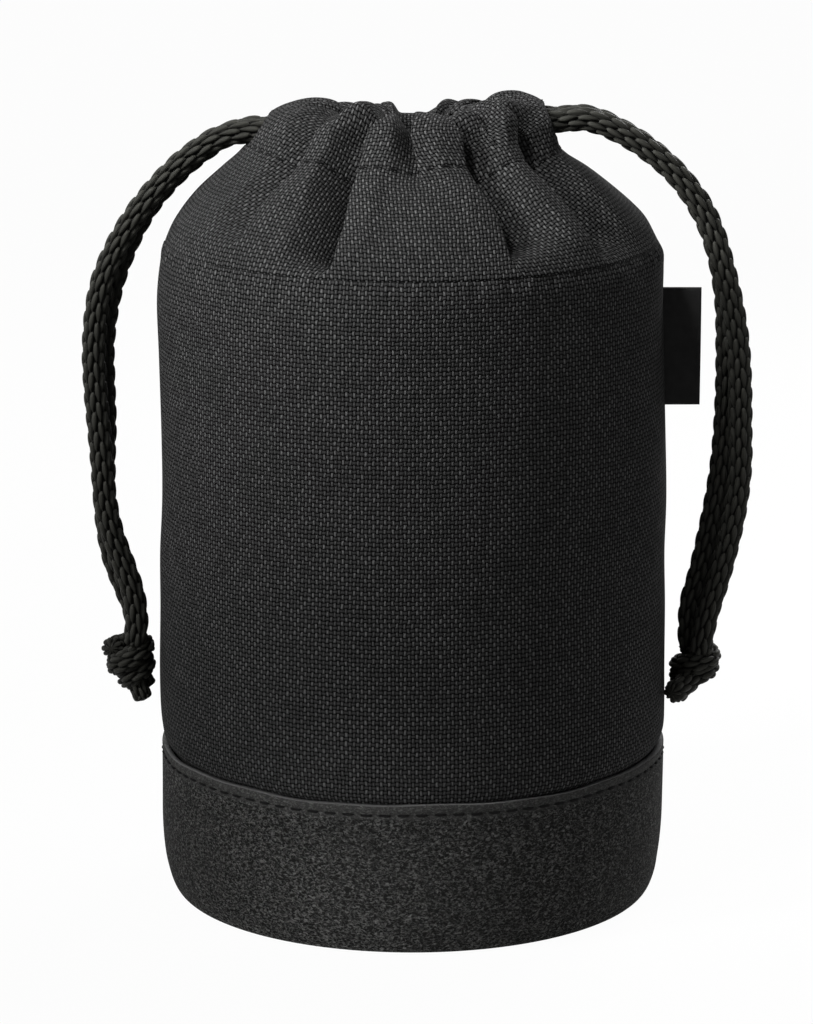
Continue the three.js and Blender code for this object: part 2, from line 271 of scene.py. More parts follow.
def braid_grid(line, diameter, towards, step=0.3, sides=90, round_end=1.2, crowding=1.0):
    """A braided tube along a line. Round each point runs a circle in the plane across the
    line, turned to face towards, with the radius diameter / 2 less the braid's grooves. Both
    ends are rounded off to a point, and crowding sets more stitches to the length, for tight
    bends. Returns the grid and its pattern coordinates."""
    count = int(line_length(line) / step) + 2
    line = evenly(line, count)
    ahead = unit(np.gradient(line, axis=0))
    towards = evenly_spread(np.atleast_2d(towards), count)
    facing = unit(towards - (towards * ahead).sum(-1, keepdims=True) * ahead)
    beside = np.cross(ahead, facing)
    along = np.linspace(0, line_length(line), count)[:, None]
    around = np.linspace(0, 1, sides, endpoint=False)[None, :]
    from_end = np.minimum(along, along[::-1]) / round_end
    cap = np.sqrt(np.clip(1 - np.clip(1 - from_end, 0, 1) ** 2, 0, 1))
    scale = diameter / braid_crest
    walked = along / scale * crowding
    height = braid_height(around, walked)
    radius = (diameter / 2 - groove_depth * scale * (1 - height)) * cap
    turn = 2 * np.pi * around
    out = np.cos(turn)[..., None] * facing[:, None] + np.sin(turn)[..., None] * beside[:, None]
    grid = line[:, None] + radius[..., None] * out
    closing = np.linspace(0, braid_columns, sides + 1)[None, :]
    return grid, laid_out(closing, walked / stitch_pitch)


print("braid of", braid_columns, "columns, one stitch every", stitch_pitch, "mm")

# %% [markdown]
# The two strands of a pair hang side by side or one in front of the other, and turn about
# each other on the way down. The route gives the middle of the pair and that turn, point by
# point, and each strand stands half a cord to its own side of it.

# %% Routes of the strands
strand_offset = 2.15
exit_height = {"left": 137.8, "right": 139.6}
exit_reach = {"left": 28.3, "right": 26.4}
root_start = {"left": 21.2, "right": 18.2}
side_of = {"left": -1, "right": 1}
ahead_of = {"front": -1, "back": 1}
routes = {
    "left": [
        (-28.3, 137.8, 90), (-31.6, 137.2, 86), (-34.4, 136.1, 82), (-37.2, 134.3, 80),
        (-40.3, 131.9, 79), (-43.6, 128.7, 79), (-46.6, 125.2, 78), (-49.1, 121.6, 75),
        (-51.6, 117, 70), (-53.9, 111.4, 66), (-55.3, 105.5, 68), (-56, 98.5, 72),
        (-55.9, 91.5, 74), (-55.6, 84.5, 80), (-55.5, 78, 90), (-55.3, 71.5, 96),
        (-54.4, 65, 106), (-53, 59.7, 116), (-51.2, 54.4, 112), (-50.2, 50.4, 100),
        (-50, 47.1, 94), (-50.4, 44.2, 92),
    ],
    "right": [
        (26.4, 139.6, 90), (29.8, 139.9, 90), (33.2, 139.1, 89), (36.4, 137.6, 88),
        (39.4, 135.9, 88), (42.6, 133.6, 88), (45.8, 130.8, 87), (48.6, 127.6, 87),
        (51.1, 123.9, 86), (53.2, 119.4, 88), (55, 113.4, 88), (56.4, 106.4, 80),
        (57.1, 99.4, 68), (57.4, 92, 61), (57.4, 84.8, 55), (57.2, 77.6, 44),
        (56.4, 70.6, 37), (55.1, 63.6, 37), (53.6, 57, 42), (52, 51.2, 46),
        (51.4, 46.4, 60), (51.2, 42.4, 70),
    ],
}


def strand_line(name, ahead):
    """The line of one strand: the pair's route moved by the offset, along the route's own
    normal by cos(turn) and along Y by sin(turn), after a straight root inside the channel."""
    side = side_of[name]
    x, z, turn = np.array(routes[name], float).T
    tangent = unit(np.gradient(np.stack([x, z], axis=-1), axis=0))
    sideways = -ahead * side * strand_offset * np.cos(np.radians(turn))
    free = np.stack([
        x - tangent[:, 1] * sideways,
        ahead * strand_offset * np.sin(np.radians(turn)),
        z + tangent[:, 0] * sideways,
    ], axis=-1)
    root = np.linspace(root_start[name], exit_reach[name] - 1.5, 3)
    root = np.stack(
        [side * root, 0 * root + ahead * strand_offset, 0 * root + exit_height[name]], axis=-1)
    return through(np.concatenate([root, free]), 700)


strands = {}
for name in side_of:
    for spot, ahead in ahead_of.items():
        line = strand_line(name, ahead)
        skin = braid_grid(line, braid_crest, np.array([0, 1.0, 0]))
        strands[name, spot] = (join_grids(f"{name}_strand_{spot}", [skin]), line)

# %% [markdown]
# A strand crosses the joint at the mouth of the channel, where the free length lifts. It is
# one mesh, not parted there: its line follows the root inside, the free end outside, and turns
# smoothly between the two over about a centimetre.

# %% Give the strands their slots and hide the parts they replace
for (name, spot), (piece, line) in strands.items():
    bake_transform(piece)
    settle(piece, "cord_braid", f"{name}_root_{spot}", f"{name}_cord_{spot}", body=None)
    print(piece.name, round(line_length(line)), "mm long")

# %% [markdown]
# ## Knots
# The two ends of a cord are tied in one overhand knot. A ball with a texture would lose the
# diagonal wraps that make it a knot, so the same braid is wound round a leaning axis, about
# two turns, and the cut ends stick out below.

# %% Wind the knots
def knot_wraps(top, bottom, wide, narrow, turns, start, lean):
    """A coil round the axis from bottom to top: the angle grows evenly, the radius from
    narrow to wide, and the coil leans by adding a height in step with x."""
    t = np.linspace(0, 1, 200)[:, None]
    angle = np.radians(start) + t * turns * 2 * np.pi
    reach = narrow + (wide - narrow) * ease(0.0, 0.75, t)
    axis = np.array(bottom) + t * (np.array(top) - np.array(bottom))
    x, y = np.sin(angle) * reach, -np.cos(angle) * reach
    return axis + np.concatenate([x, y, lean * x], axis=1)


def knot(name, bottom, top, wind, tails):
    """A knot of one long wrap round its axis and cut tails, each (line, diameter)."""
    coil = knot_wraps(top, bottom, *wind)
    outward = coil - np.linspace(bottom, top, len(coil))
    grids = [braid_grid(coil, braid_crest, outward, step=0.22, sides=72, crowding=1.7)]
    for line, diameter in tails:
        line = through(line, 60)
        grids.append(braid_grid(line, diameter, np.array([0, 1.0, 0.2]), 0.26, 72, 0.8))
    piece = join_grids(f"{name}_knot_wraps", grids)
    return settle(piece, "cord_braid", f"{name}_knot", body=f"{name}_cord_end")


# Each knot: the ends of its axis, its wide and narrow radius, turns, first angle and lean
knots = {
    "left": knot(
        "left", (-49.8, 0, 37.4), (-51.9, 0, 44.4), (2.7, 1.3, 2.35, 150, 0.4),
        tails=[([(-50.6, -0.4, 39), (-49.6, -1, 36.4), (-48.7, -1.6, 34)], 3.6),
               ([(-50, 1, 39.4), (-48.6, 1.2, 37.2), (-47.8, 1.2, 35.8)], 3.2)]),
    "right": knot(
        "right", (51, 0, 37.8), (51.4, 0, 42.4), (2.6, 2.3, 2.3, 120, 0.2),
        tails=[([(51.6, -1, 39), (49.4, -4.4, 38), (46.5, -8.8, 37.2)], 4.2),
               ([(51, 0, 38.6), (49.2, -3, 37), (47.6, -6, 36.2)], 3.6)]),
}

# %% [markdown]
# A real cord is limp, and the mesh shows it in one pose only.

print("cords:", len(strands))

# %% [markdown]
# Inside the channel each cord runs once round the mouth. Nobody sees it while the pouch is
# shut, but it is there when the pouch is taken apart, so it gets the same braid, packed
# thinner by the gathered cloth.

# %% Loops in the channel
packed_diameter = 3.0
mouth_dip = 3.0
loop_radius = {"left": 18.2, "right": 15.2}
loop_dip = {"left": 2.0, "right": 0.0}
loop_turn_in = 22
loop_lead = 2.8


def loop_line(name):
    """Once round the mouth, from one strand's root to the other's. The loop dips between the
    two sides with the mouth, by cos^2 of the angle, and on its far side under the other cord."""
    side = side_of[name]
    turn = np.linspace(loop_turn_in, 360 - loop_turn_in, 40)
    sunk = loop_dip[name] * (1 - np.cos(np.radians(turn))) / 2
    sunk = sunk + mouth_dip * np.cos(np.radians(side * 90 + turn)) ** 2
    bend = place(side * 90 + turn, loop_radius[name], exit_height[name] - sunk)
    reach = side * (loop_radius[name] + loop_lead)
    lead = np.array([reach, side * strand_offset, exit_height[name]])
    return through(np.concatenate([[lead], bend, [lead * (1, -1, 1)]]), 600)


for name in side_of:
    skin = braid_grid(loop_line(name), packed_diameter, np.array([0, 0, 1.0]), 0.45, 54)
    settle(join_grids(f"{name}_loop", [skin]), "cord_braid", f"{name}_drawcord_loop")

# %% [markdown]
# ## Base cup
# The cup is moulded leathercloth: a flat bottom, a generously rounded corner, a straight wall
# and a cut rim with a row of top stitching. It is a turned shape, so one outline is carried
# round the axis. The thread pulls the wall in along the stitch line, a little more at each
# stitch, which a plain turned profile would miss.

# %% Turn an outline
def turned(name, outline, columns, slot, node, threads=(1, 1), shape=None, close=True):
    """Carries an outline of (radius, height) points round the axis in equal steps of angle.
    shape(angle, radius, height) may move the points. Pattern coordinates are turns and the
    height in millimetres, or thread counts if threads gives the count round and the pitch up.
    An outline that runs from pole to pole isn't closed on itself."""
    outline = np.asarray(outline, float)
    angle = np.linspace(0, 360, columns, endpoint=False)[None, :]
    radius, height = outline[:, :1] + 0 * angle, outline[:, 1:] + 0 * angle
    if shape:
        radius, height = shape(angle, radius, height)
    rows = len(outline) + (1 if close else 0)
    span = np.linspace(0, threads[0], columns + 1)[None, :]
    level = np.concatenate([outline, outline[:1]])[:rows, 1:] / threads[1]
    piece = grid_mesh(name, place(angle, radius, height), laid_out(span, level), close)
    return settle(piece, slot, node)


def steps(start, end, count):
    """Points in equal steps from start to end, without the end."""
    return np.linspace(start, end, count, endpoint=False)


def quarter(radius, height, width, drop, count):
    """A quarter of an ellipse from straight below its centre to straight out from it."""
    turn = np.linspace(0, np.pi / 2, count)
    return np.stack([radius + width * np.sin(turn), height - drop * np.cos(turn)], axis=-1)


def quarter_circle(radius, count):
    """Steps round a quarter circle about the origin, from straight out to straight up."""
    turn = np.linspace(0, np.pi / 2, count)
    return np.stack([np.cos(turn), np.sin(turn)], -1) * radius


print("outline helpers ready")

# %% The cup
base_radius = 45.6
base_height = 27.2
base_inner = 44.2
base_floor = 1.4
base_flat = 42.5
corner_height = 14.8
base_stitch_height = 25.5
base_stitches = 89
stitch_pull = 0.22
hole_pull = 0.3
rim_round = 0.3


def base_shape(angle, radius, height):
    """Stitching draws the wall in along its line as a bell, deeper at each needle hole. The
    rim wanders a little up and down, and the wall is not perfectly round."""
    turn = np.radians(angle)
    holes = (0.5 + 0.5 * np.cos(turn * base_stitches)) ** 3
    outside = ease(base_inner + 0.3, base_inner + 0.9, radius)
    line = np.exp(-(((height - base_stitch_height) / 0.5) ** 2))
    radius = radius - outside * line * (stitch_pull + hole_pull * holes)
    radius = radius + outside * 0.12 * np.sin(3 * turn + height / 9)
    rim = ease(base_height - 4, base_height, height)
    return radius, height + rim * (0.16 * np.sin(7 * turn + 1) + 0.08 * np.sin(17 * turn))


cup_outline = np.concatenate([
    steps((0, 0), (base_flat, 0), 10),
    quarter(base_flat, corner_height, base_radius - base_flat, corner_height, 34),
    steps((base_radius, corner_height + 0.5), (base_radius, base_height - rim_round), 40),
    (base_radius - rim_round, base_height - rim_round) + quarter_circle(rim_round, 6),
    steps((base_inner + 0.2, base_height), (base_inner, corner_height), 10),
    quarter(base_flat, corner_height, base_inner - base_flat, corner_height - base_floor, 10)[::-1],
    np.linspace((base_flat - 4, base_floor), (0, base_floor), 5),
])
turned(
    "leathercloth_cup", cup_outline, 712, "base_leathercloth", "base_cup",
    shape=base_shape, close=False)

# %% [markdown]
# ## Padded tube
# The tube is woven cloth over foam. Foam never lets cloth lie perfectly straight: the wall
# swells a little below the top seam and again at a third of its height, and sinks between.
# At the side a seam runs straight up where the panel's two ends meet, and the tab is caught
# in it. The bottom tucks behind the cup's rim and the top turns in to the collar's seam.

# %% The woven tube
body_radius = 45.0
cloth = 0.9
lap_radius = 43.4
panel_bottom = 13.2
panel_top = 118.2
seam_height = 118.4
seam_dip = 0.6
threads_round = 424
weft_pitch = 0.775
side_seam_angle = 90

# Outlines of the left and the right side: radius and height from the cup up to the top seam
left_wall = [
    (lap_radius, 24), (43.7, 26.4), (44.9, 28), (45.4, 29.9), (45.75, 34), (45.8, 41), (45.55, 52),
    (45.5, 62), (45.0, 72), (44.9, 84), (45.0, 98), (45.2, 107), (44.9, 112), (44.35, 115.6),
    (43.75, panel_top)]
right_wall = [
    (lap_radius, 24), (43.7, 26.4), (44.9, 28), (45.5, 29.9), (45.6, 34), (45.5, 41), (45.4, 52),
    (45.1, 62), (45.3, 72), (45.1, 84), (44.8, 98), (44.5, 108), (44.5, 113), (44.35, 116),
    (43.45, panel_top)]


def smooth_radius(wall, height):
    """The radius of an outline at any height, read off the smooth curve through its points."""
    radius, level = through(wall, 400).T
    return np.interp(height, level, radius)


def body_shape(angle, radius, height):
    """Blends the two outlines by (1 +- sin) / 2 of the angle, and adds slow swells, a dent at
    the side seam, fine puckers under the top seam and the seam's dip at the front and back."""
    turn = np.radians(angle)
    right_share = (1 + np.sin(turn)) / 2
    above = height > 24.9
    wall = smooth_radius(left_wall, height) * (1 - right_share)
    wall = wall + smooth_radius(right_wall, height) * right_share
    wall = wall + 0.12 * np.sin(3 * turn + height / 17) + 0.07 * np.sin(5 * turn - height / 9 + 2)
    away = np.radians(np.mod(angle - side_seam_angle + 180, 360) - 180) * body_radius
    wall = wall - 0.7 * np.exp(-((away / 0.7) ** 2)) * ease(28, 31, height)
    wall = wall + 0.2 * np.exp(-((away / 5) ** 2))
    puckers = 0.1 * np.sin(97 * turn) + 0.12 * np.sin(41 * turn + 1) + 0.08 * np.sin(163 * turn)
    wall = wall + puckers * np.exp(-(((height - 117) / 1.6) ** 2))
    radius = radius + above * (wall - body_radius)
    return radius, height - seam_dip * np.cos(turn) ** 2 * ease(96, 118, height)


levels = np.concatenate([
    steps(panel_bottom, 26, 6), steps(26, 34, 26), steps(34, 112, 80),
    np.linspace(112, panel_top, 30)])
panel_outside = np.stack([np.where(levels < 25, lap_radius, body_radius), levels], -1)
panel_inside = panel_outside[::-4] - (cloth, 0)
panel = turned(
    "woven_tube", np.concatenate([panel_outside, panel_inside]), 560, "shell_weave", "body_panel",
    threads=(threads_round, weft_pitch), shape=body_shape)

# %% [markdown]
# Behind the cloth are a foam sleeve, a foam disc on the stiff board and a brushed lining.
# Only a sliver of lining shows through the mouth, but the pieces are modelled whole, with
# soft rounded edges instead of the construction model's sharp ones.

# %% Foam and lining
def soft_block(inner, outer, bottom, top, round_off, count=8):
    """An upright oblong outline with its four corners rounded off by quarter circles."""
    wave = quarter_circle(round_off, count)
    low, high = bottom + round_off, top - round_off
    left, right = inner + round_off, outer - round_off
    return np.concatenate([
        (right, low) + np.stack([wave[:, 1], -wave[:, 0]], -1),
        (right, high) + wave,
        (left, high) + np.stack([-wave[:, 1], wave[:, 0]], -1),
        (left, low) - wave,
    ])


def disc_outline(radius, bottom, top, crown=0.0):
    """A flat disc's outline from pole to pole, its edge a half circle and its top crowned."""
    half = (top - bottom) / 2
    turn = np.linspace(-np.pi / 2, np.pi / 2, 11)
    edge = np.stack([radius - half + half * np.cos(turn), bottom + half + half * np.sin(turn)], -1)
    reach = np.linspace(0, radius - half, 8)[:-1]
    under = np.stack([reach, 0 * reach + bottom], -1)
    over = np.stack([reach[::-1], top + crown * (1 - (reach[::-1] / radius) ** 2)], -1)
    return np.concatenate([under, edge, over])


hidden_sides = 96
sleeve_top = 118
sleeve = soft_block(39.4, 42.4, 13.4, sleeve_top, 0.8)
foam = turned("foam_tube", sleeve, hidden_sides, "padding_foam", "foam_sleeve")
disc = disc_outline(40.4, 3.2, 6.2)
pad = turned("foam_disc", disc, hidden_sides, "padding_foam", "floor_foam", close=False)
disc = disc_outline(39, 6.5, 7.2, 0.3)
floor_cloth = turned("lining_disc", disc, hidden_sides, "lining_cloth", "lining_floor", close=False)
sleeve = soft_block(38.3, 39.1, 7.6, sleeve_top, 0.3)
lining = turned("lining_sleeve", sleeve, hidden_sides, "lining_cloth", "lining_tube")

# %% [markdown]
# ## Gathered collar
# The collar is a straight strip of cloth, drawn in from the tube's full width to a mouth of a
# few centimetres. The spare cloth goes into folds. On the photographed pouch each panel ends
# in an abrupt edge that laps over its neighbour, and the neighbour slides gently under it.
# A cloth simulation would fold where it likes, so each fold is a formula along its own line:
# a cusp, steep on one side and slow on the other, with the steep edge pushed out over it.

# %% The collar's slope
# Radius and height up the slope, from the seam over the crown to the lip inside the mouth
slope_points = {
    "left": [
        (43.75, 118.1), (43.55, 119), (42.2, 122.3), (38.5, 126.7), (33.6, 131), (30.4, 133.8),
        (28.4, 136.4), (26.8, 139), (24.6, 141), (21.2, 142.3), (17.2, 143.1), (13.6, 142.7),
        (11, 140.8)],
    "right": [
        (43.4, 118.1), (43.15, 118.8), (40.7, 122.4), (36.5, 126.7), (31.6, 131), (27.4, 133.8),
        (25.9, 135.6), (25.4, 138), (25, 140.4), (23, 142.8), (19, 144.6), (14.6, 144.4),
        (10.6, 141.6)],
    "front": [
        (43.5, 118.1), (43.6, 118.8), (41.3, 122.4), (37.2, 126.4), (32.4, 130.4), (28.3, 133.2),
        (25, 136.2), (22.6, 139.2), (20.2, 141.5), (17, 142.7), (14, 142.2), (11.4, 140.6),
        (9.4, 138.2)],
    "back": [
        (43.5, 118.1), (43.6, 118.8), (41.3, 122.4), (37.2, 126.4), (32.4, 130.4), (28.3, 133.2),
        (24.8, 135.8), (21.8, 138), (19, 139.6), (16, 140.5), (13, 140.2), (10.8, 139),
        (9.2, 137.4)],
}
slope_rows = 130
slope_columns = 900
collar_cloth = 0.6
channel_share = 0.52
slopes = {side: through(points, slope_rows) for side, points in slope_points.items()}
share = np.linspace(0, 1, slope_rows)[:, None]
ring_radius = slopes["front"][:, :1]
slope_length = line_length(slopes["front"])
print("slope", round(slope_length, 1), "mm")

# %% Its folds
# Each fold: its line as (share of the slope, angle) points, its depth, the share where it
# begins, the side on which the neighbour slides under (+1 towards larger angles), its spread
folds = [
    ([(0, -47), (0.25, -44), (0.44, -41.5), (0.66, -43), (0.8, -43), (1, -44)], 6.5, 0.06, -1, 10),
    ([(0, -38), (0.6, -38), (1, -39)], 1.8, 0.56, -1, 3),
    ([(0, -22.5), (0.07, -18.5), (0.2, -16), (0.43, -17), (0.65, -17), (0.88, -20), (1, -21)],
     11.5, -0.15, -1, 10.5),
    ([(0, 4), (0.68, 2.5), (1, 3.5)], 4.9, 0.4, -1, 6),
    ([(0, 24.5), (0.2, 22.5), (0.42, 18.5), (0.54, 17), (0.66, 18.5), (0.8, 21), (1, 22.5)],
     10.5, 0.02, 1, 13),
    ([(0, 43), (0.3, 40), (0.54, 39), (0.7, 36.5), (0.78, 35.5), (1, 34.5)], 3.6, 0.48, 1, 6),
    ([(0, 51), (0.12, 46.5), (0.3, 45.5), (0.46, 44), (0.56, 44.6), (0.64, 47), (0.74, 53),
      (1, 60)], 11, -0.12, 1, 14),
    ([(0, 74), (1, 78)], 1.4, 0.7, 1, 5),
    ([(0, 114), (0.5, 118), (1, 120)], 11, -0.1, -1, 12),
    ([(0, 138), (1, 141)], 3.6, 0.45, -1, 6),
    ([(0, 158), (0.5, 160), (1, 160)], 11, 0, 1, 12),
    ([(0, 180), (1, 178)], 3.4, 0.55, 1, 6),
    ([(0, 203), (0.5, 199), (1, 196)], 10, 0.05, -1, 12),
    ([(0, 222), (1, 216)], 3.4, 0.5, -1, 6),
    ([(0, 244), (0.5, 240), (1, 236)], 11, -0.1, 1, 12),
    ([(0, 286), (1, 284)], 1.6, 0.7, 1, 5),
]
# Lobes of the crown between two folds: middle angle, height, half width in degrees
lobes = [
    (-30, 2.5, 9.5), (-78, 0.5, 16), (-2, -1.2, 4.5), (13, -0.4, 8), (31, 0.3, 6), (40, 1.3, 6),
    (60, 1.3, 12), (138, 0.4, 6), (158, 0.9, 7), (178, -0.4, 6), (195, 1.8, 7), (208, 0.2, 8)]


def fold_tracks():
    """The angle of every fold on every row, read off a smooth curve through its points."""
    lines = [through(points, 300) for points, *_ in folds]
    return np.stack([np.interp(share[:, 0], line[:, 0], line[:, 1]) for line in lines])


def column_angles(tracks):
    """Angles of the grid's columns on each row. Columns crowd together near the folds, those
    at a fold follow its track, and those between two folds share the difference."""
    middle = tracks[:, slope_rows // 2]
    fine = np.linspace(-70, 290, 3601)
    crowd = 1 + 7 * np.exp(-(((fine[:, None] - middle) / 2.6) ** 2)).sum(1)
    walked = np.concatenate([[0], np.cumsum(crowd[1:])])
    column = np.interp(np.linspace(0, walked[-1], slope_columns, endpoint=False), walked, fine)
    knots_at = np.concatenate([middle[-1:] - 360, middle, middle[:1] + 360])
    pulls = tracks - middle[:, None]
    pulls = np.concatenate([pulls[-1:], pulls, pulls[:1]])
    return column + np.stack([np.interp(column, knots_at, pull) for pull in pulls.T]), column


tracks = fold_tracks()
angles, columns_at = column_angles(tracks)
print(len(folds), "folds and", len(lobes), "lobes on", slope_columns, "columns")

# %% Ruffles, and the slope at every angle
draw = np.random.default_rng(11)
front_ruffles = [-86, -72, -60, -50, -44, -32, -16.5, -2, 9, 21, 34, 46, 58, 70, 80, 90]
front_depths = [1, 0.8, 1, 0.8, 4.2, 0.4, 2.4, 0.2, 0.6, 1.6, 0.6, 1.4, 0.8, 0.8, 0.8, 1]
back_ruffles = [112, 124, 135, 152, 170, 187, 199, 212, 234, 250]
ruffle_angles = np.array(front_ruffles + back_ruffles) + draw.uniform(-1, 1, 26)
ruffle_depths = np.concatenate([front_depths, draw.uniform(1.6, 3, 10)])


def ring_gap(angle):
    """Millimetres along the ring from an angle or a track, positive towards larger angles."""
    return np.radians(np.mod(angles - angle + 180, 360) - 180) * ring_radius


def mixed_slope():
    """The slope at every angle, a mix of the left and right ones by |sin|^3 and the front and
    back ones by the rest, and its unit direction up the slope."""
    turn = np.radians(angles)
    side = np.abs(np.sin(turn)) ** 3
    shares = {
        "left": side * (np.sin(turn) < 0), "right": side * (np.sin(turn) > 0),
        "front": (1 - side) * (np.cos(turn) > 0), "back": (1 - side) * (np.cos(turn) <= 0)}
    climbs = {name: np.gradient(slope, axis=0) for name, slope in slopes.items()}
    mixed = sum(shares[name][..., None] * slopes[name][:, None] for name in slopes)
    ahead = sum(shares[name][..., None] * climbs[name][:, None] for name in slopes)
    return mixed, unit(ahead)


mixed, slope_ahead = mixed_slope()
print(len(ruffle_angles), "ruffles round the mouth")

# %% [markdown]
# The cloth can only sink as far as the cords in the channel let it. So each fold's depth is
# worked out first, and then eased off where the cloth would come down on a cord.

# %% Depth of the folds
lap_over = 2.3
deepest = 12.0
cord_clearance = 0.15
least_room = 1.2


def room_above_cords():
    """How far the cloth can sink at every point before it meets a cord's loop."""
    room = np.full(angles.shape, deepest)
    dip = mouth_dip * np.cos(np.radians(angles)) ** 2
    for name, side in side_of.items():
        far = loop_dip[name] * (1 - np.cos(np.radians(angles - side * 90))) / 2
        above = mixed[..., 1] - exit_height[name] + far + dip
        away = np.hypot(mixed[..., 0] - loop_radius[name], above)
        room = np.minimum(room, away - packed_diameter / 2 - collar_cloth - cord_clearance)
    return np.maximum(room, least_room)


def gather():
    """How far the folds draw the cloth in, and how far their edges are pushed sideways. With g
    the distance towards the neighbour that slides under, the depth climbs at the edge as
    1 / (1 + exp(-g / 0.22)) and fades as (1 - g / spread)^1.25. The edge is pushed over the gap
    by one bell, the cloth below is drawn back by another, and the panel swells before its edge.
    Deep folds ease off towards the crown, where the panels round over side by side."""
    sunk = 0.25 * np.sin(np.radians(3 * angles) + 5 * share)
    sunk = (sunk + 0.2 * np.sin(np.radians(7 * angles) - 9 * share)) * ease(0, 0.12, share)
    pushed = np.zeros_like(angles)
    lap = lap_over * (1 - 0.75 * ease(0.66, 0.86, share))
    for (points, depth, start, under, spread), track in zip(folds, tracks):
        gap = ring_gap(track[:, None]) * under
        reach = ease(start, start + 0.3, share) * ease(0, 0.18, share)
        reach = reach * (1 - 0.92 * ease(5, 9, depth) * ease(0.64, 0.8, share))
        width = spread * (1.15 - 0.6 * share)
        edge = 1 / (1 + np.exp(-np.clip(gap / 0.22, -40, 40)))
        sunk += depth * reach * edge * np.clip(1 - gap / width, 0, 1) ** 1.25
        sunk -= 0.6 * np.minimum(depth / 6, 1) * reach * np.exp(-(((gap + 2.4) / 2) ** 2))
        shift = np.exp(-(((gap + 0.6) / 0.6) ** 2)) - 0.5 * np.exp(-(((gap - 0.7) / 0.6) ** 2))
        pushed += under * lap * np.minimum(depth / 6, 1) * reach * shift
    for angle, depth in zip(ruffle_angles, ruffle_depths):
        sunk += depth * ease(0.68, 0.86, share) * np.exp(-np.abs(ring_gap(angle)) / 1.1)
    for angle, height, half in lobes:
        away = (np.mod(angles - angle + 180, 360) - 180) / half
        sunk -= height * ease(0.6, 0.8, share) * np.exp(-(away**2))
    limit = sunk / room_above_cords()
    return np.where(sunk > 0, sunk / (1 + np.maximum(limit, 0) ** 4) ** 0.25, sunk), pushed


sunk, pushed = gather()
stitch_line = np.exp(-(((share - channel_share) * slope_length / 0.6) ** 2))
puckers = 0.5 + 0.5 * np.sin(np.radians(angles) * 58)
sunk = sunk + stitch_line * (0.12 + puckers * (0.16 + 0.12 * np.sin(np.radians(5 * angles + 40))))
print("deepest fold", round(float(sunk.max()), 1), "mm")

# %% [markdown]
# The strands leave the channel through a slot at each side. The grid has no holes, so the
# slot is a pocket: inside an oval round the pair of strands the cloth is pushed in towards
# the axis, deep enough for the strands to vanish in it.

# %% Pockets and the finished cloth
pocket_half_width = 4.9
pocket_half_height = 2.6
pocket_depth = 4.5


def collar_points():
    """Points of the outer face: the slope moved in along its normal by the folds, pushed
    sideways at the lapping edges, lowered with the seam's dip and pressed in at the pockets."""
    foot = seam_dip * np.cos(np.radians(angles)) ** 2 * (1 - ease(0, 0.45, share))
    radius = mixed[..., 0] - slope_ahead[..., 1] * sunk
    height = mixed[..., 1] + slope_ahead[..., 0] * sunk - foot
    points = place(angles + np.degrees(pushed / radius), radius, height)
    for name, side in side_of.items():
        above = (points[..., 2] - exit_height[name]) / pocket_half_height
        oval = np.hypot(points[..., 1] / pocket_half_width, above)
        pressed = pocket_depth * (1 - ease(0.85, 1.15, oval)) * (points[..., 0] * side > 0)
        points[..., 0] -= side * pressed
    return points


def grid_normals(points):
    """Unit normals of a grid that closes round its columns, from the cross product of the
    steps up and along it."""
    up = np.gradient(points, axis=0)
    on = np.roll(points, -1, axis=1) - np.roll(points, 1, axis=1)
    return unit(np.cross(on, up))


outer = collar_points()
inner = outer - collar_cloth * grid_normals(outer)
under_rows = np.arange(slope_rows - 1, -1, -3)
grid = np.concatenate([outer, inner[under_rows]])
collar_ends = [round(float(end), 1) for end in (outer[..., 2].min(), outer[..., 2].max())]
print("collar from", collar_ends[0], "to", collar_ends[1], "mm")

# %% [markdown]
# Threads keep their width however the cloth is folded. So the weave is laid out by true
# length: up the slope from the seam, and round each panel from the panel's own middle. At
# the deep folds the count starts afresh, and the fold hides the cut.

# %% Threads of the collar
thread_pitch = 2 * math.pi * body_radius / threads_round
deep = [k for k, fold in enumerate(folds) if fold[1] >= 5.0]


def collar_threads():
    """Thread counts at the left and right edge of every column of faces, on every row: the
    ring's length from the middle column of the panel, plus that column's count at the seam."""
    ring = np.concatenate([outer, outer[:, :1]], axis=1)
    walked = np.cumsum(np.linalg.norm(np.diff(ring, axis=1), axis=-1), axis=1)
    arc = np.concatenate([0 * walked[:, :1], walked], axis=1)
    twice = np.concatenate([arc[:, :-1] - arc[:, -1:], arc], axis=1)
    column = np.arange(slope_columns)
    cuts = np.searchsorted(columns_at, tracks[deep, slope_rows // 2])
    bounds = np.concatenate([cuts[-1:] - slope_columns, cuts, cuts[:1] + slope_columns])
    panel_of = np.searchsorted(bounds, column, side="right") - 1
    middles = (bounds[:-1] + bounds[1:]) // 2
    middles = np.where(middles >= slope_columns, middles - slope_columns, middles)
    middle_of = middles[panel_of]
    late = column - middle_of > slope_columns // 2
    centre = twice[:, middle_of + slope_columns]
    centre = centre + np.where(late, arc[:, -1:], 0)
    left = arc[:, :-1] - centre + centre[:1]
    right = arc[:, 1:] - centre + centre[:1]
    return left / thread_pitch, right / thread_pitch


left, right = collar_threads()
level = np.linspace(0, slope_length, slope_rows)[:, None] / weft_pitch
all_rows = np.concatenate([np.arange(slope_rows), under_rows, [0]])
left_places, right_places = laid_out(left, level)[all_rows], laid_out(right, level)[all_rows]
padded_left = np.concatenate([left_places, left_places[:, :1]], axis=1)
collar = grid_mesh("gathered_collar", grid, padded_left, True, right_places)
settle(collar, "shell_weave", "collar")

